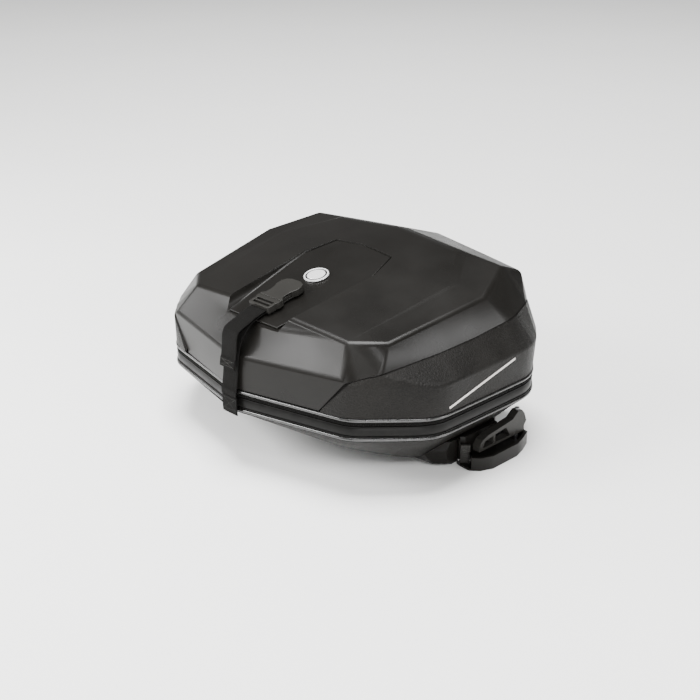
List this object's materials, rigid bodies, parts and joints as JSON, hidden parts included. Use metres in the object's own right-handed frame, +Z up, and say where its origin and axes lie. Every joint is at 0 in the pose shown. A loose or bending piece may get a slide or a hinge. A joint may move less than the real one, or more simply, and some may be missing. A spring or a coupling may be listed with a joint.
{
  "type": "semi-rigid saddlebag",
  "caption": "Semi-rigid saddlebag: moulded clamshell with a rear hinge, perimeter zip, buckled over-strap and a quick-release mounting bracket underneath.",
  "frame": {"origin": "on the ground under the middle of the bag", "axes": "+X to the right seen from the strap end, +Y from the narrow strap end towards the wide hinge end, +Z up"},
  "size_m": [0.438, 0.3572, 0.22],
  "materials": {
    "smooth_shell": "satin moulded shell",
    "grained_shell": "fine moulded grain",
    "soft_trim": "satin soft trim",
    "webbing": "woven webbing",
    "nylon": "moulded nylon",
    "steel": "brushed",
    "board": "matt board",
    "silver_trim": "satin silver",
    "badge_enamel": "gloss"
  },
  "bodies": {
    "base": {"lower_shell": "grained_shell", "rim_band": "soft_trim", "lower_piping": "soft_trim", "zip_tape_lower": "webbing", "hinge_strip": "webbing", "strap_anchor": "webbing", "base_bracket": "smooth_shell", "floor_stiffener": "board", "bracket_screw_1": "steel", "bracket_screw_2": "steel", "bracket_screw_3": "steel", "bracket_screw_4": "steel", "latch_housing_right": "smooth_shell", "latch_housing_left": "smooth_shell", "tab_pin_right": "steel", "tab_pin_left": "steel", "tab_spring_right": "steel", "tab_spring_left": "steel"},
    "lid": {"lid_cover": "smooth_shell", "side_panel_right": "grained_shell", "side_panel_left": "grained_shell", "rear_panel": "grained_shell", "centre_insert": "smooth_shell", "badge_base": "silver_trim", "badge_disc": "badge_enamel", "upper_piping": "soft_trim", "zip_tape_upper": "webbing", "buckle_socket": "nylon", "socket_tab": "webbing"},
    "strap": {"buckle_plug": "nylon", "strap_webbing": "webbing", "strap_tail": "webbing"},
    "arm_right": {"buckle_arm_right": "nylon"},
    "arm_left": {"buckle_arm_left": "nylon"},
    "slider_front": {"zip_slider_front": "steel"},
    "slider_rear": {"zip_slider_rear": "steel"},
    "pull_front": {"zip_pull_front": "soft_trim"},
    "pull_rear": {"zip_pull_rear": "soft_trim"},
    "latch_right": {"latch_lever_right": "nylon", "latch_pin_right": "steel", "latch_cam_right": "steel"},
    "latch_left": {"latch_lever_left": "nylon", "latch_pin_left": "steel", "latch_cam_left": "steel"},
    "tab_right": {"lock_tab_right": "nylon"},
    "tab_left": {"lock_tab_left": "nylon"}
  },
  "joints": [
    {"name": "lid_hinge", "type": "hinge", "parent": "base", "child": "lid", "pos_m": [0, 0.1807, 0.0877], "axis": [-1, 0, 0], "range_deg": [0, 80]},
    {"name": "strap_release", "type": "slide", "parent": "lid", "child": "strap", "axis": [0, -0.973, -0.2306], "range_m": [0, 0.033]},
    {"name": "arm_right_squeeze", "type": "hinge", "parent": "strap", "child": "arm_right", "pos_m": [0.007, -0.11055, 0.18119], "axis": [0, -0.2306, 0.973], "range_deg": [0, 7], "stiffness_Nm_per_rad": 0.05},
    {"name": "arm_left_squeeze", "type": "hinge", "parent": "strap", "child": "arm_left", "pos_m": [-0.007, -0.11055, 0.18119], "axis": [0, 0.2306, -0.973], "range_deg": [0, 7], "stiffness_Nm_per_rad": 0.05},
    {"name": "zip_front_slide", "type": "slide", "parent": "base", "child": "slider_front", "axis": [0, -1, 0], "range_m": [0, 0.05]},
    {"name": "zip_rear_slide", "type": "slide", "parent": "base", "child": "slider_rear", "axis": [0, 1, 0], "range_m": [0, 0.037]},
    {"name": "pull_front_swing", "type": "hinge", "parent": "slider_front", "child": "pull_front", "pos_m": [-0.218, 0.0107, 0.0843], "axis": [0, 0, -1], "range_deg": [0, 100]},
    {"name": "pull_rear_swing", "type": "hinge", "parent": "slider_rear", "child": "pull_rear", "pos_m": [-0.218, 0.0277, 0.0843], "axis": [0, 0, 1], "range_deg": [0, 100]},
    {"name": "latch_right_turn", "type": "hinge", "parent": "base", "child": "latch_right", "pos_m": [0.198, 0.0887, 0.03], "axis": [0, 0, 1], "range_deg": [0, 90]},
    {"name": "latch_left_turn", "type": "hinge", "parent": "base", "child": "latch_left", "pos_m": [-0.198, 0.0887, 0.03], "axis": [0, 0, -1], "range_deg": [0, 90]},
    {"name": "tab_right_press", "type": "hinge", "parent": "base", "child": "tab_right", "pos_m": [0.19, 0.0072, 0.006], "axis": [-0.7071, -0.7071, 0], "range_deg": [0, 7], "stiffness_Nm_per_rad": 0.05},
    {"name": "tab_left_press", "type": "hinge", "parent": "base", "child": "tab_left", "pos_m": [-0.19, 0.0072, 0.006], "axis": [-0.7071, 0.7071, 0], "range_deg": [0, 7], "stiffness_Nm_per_rad": 0.05}
  ],
  "couplings": [
    {"joint": "arm_left_squeeze", "follows": "arm_right_squeeze", "ratio": 1}
  ]
}
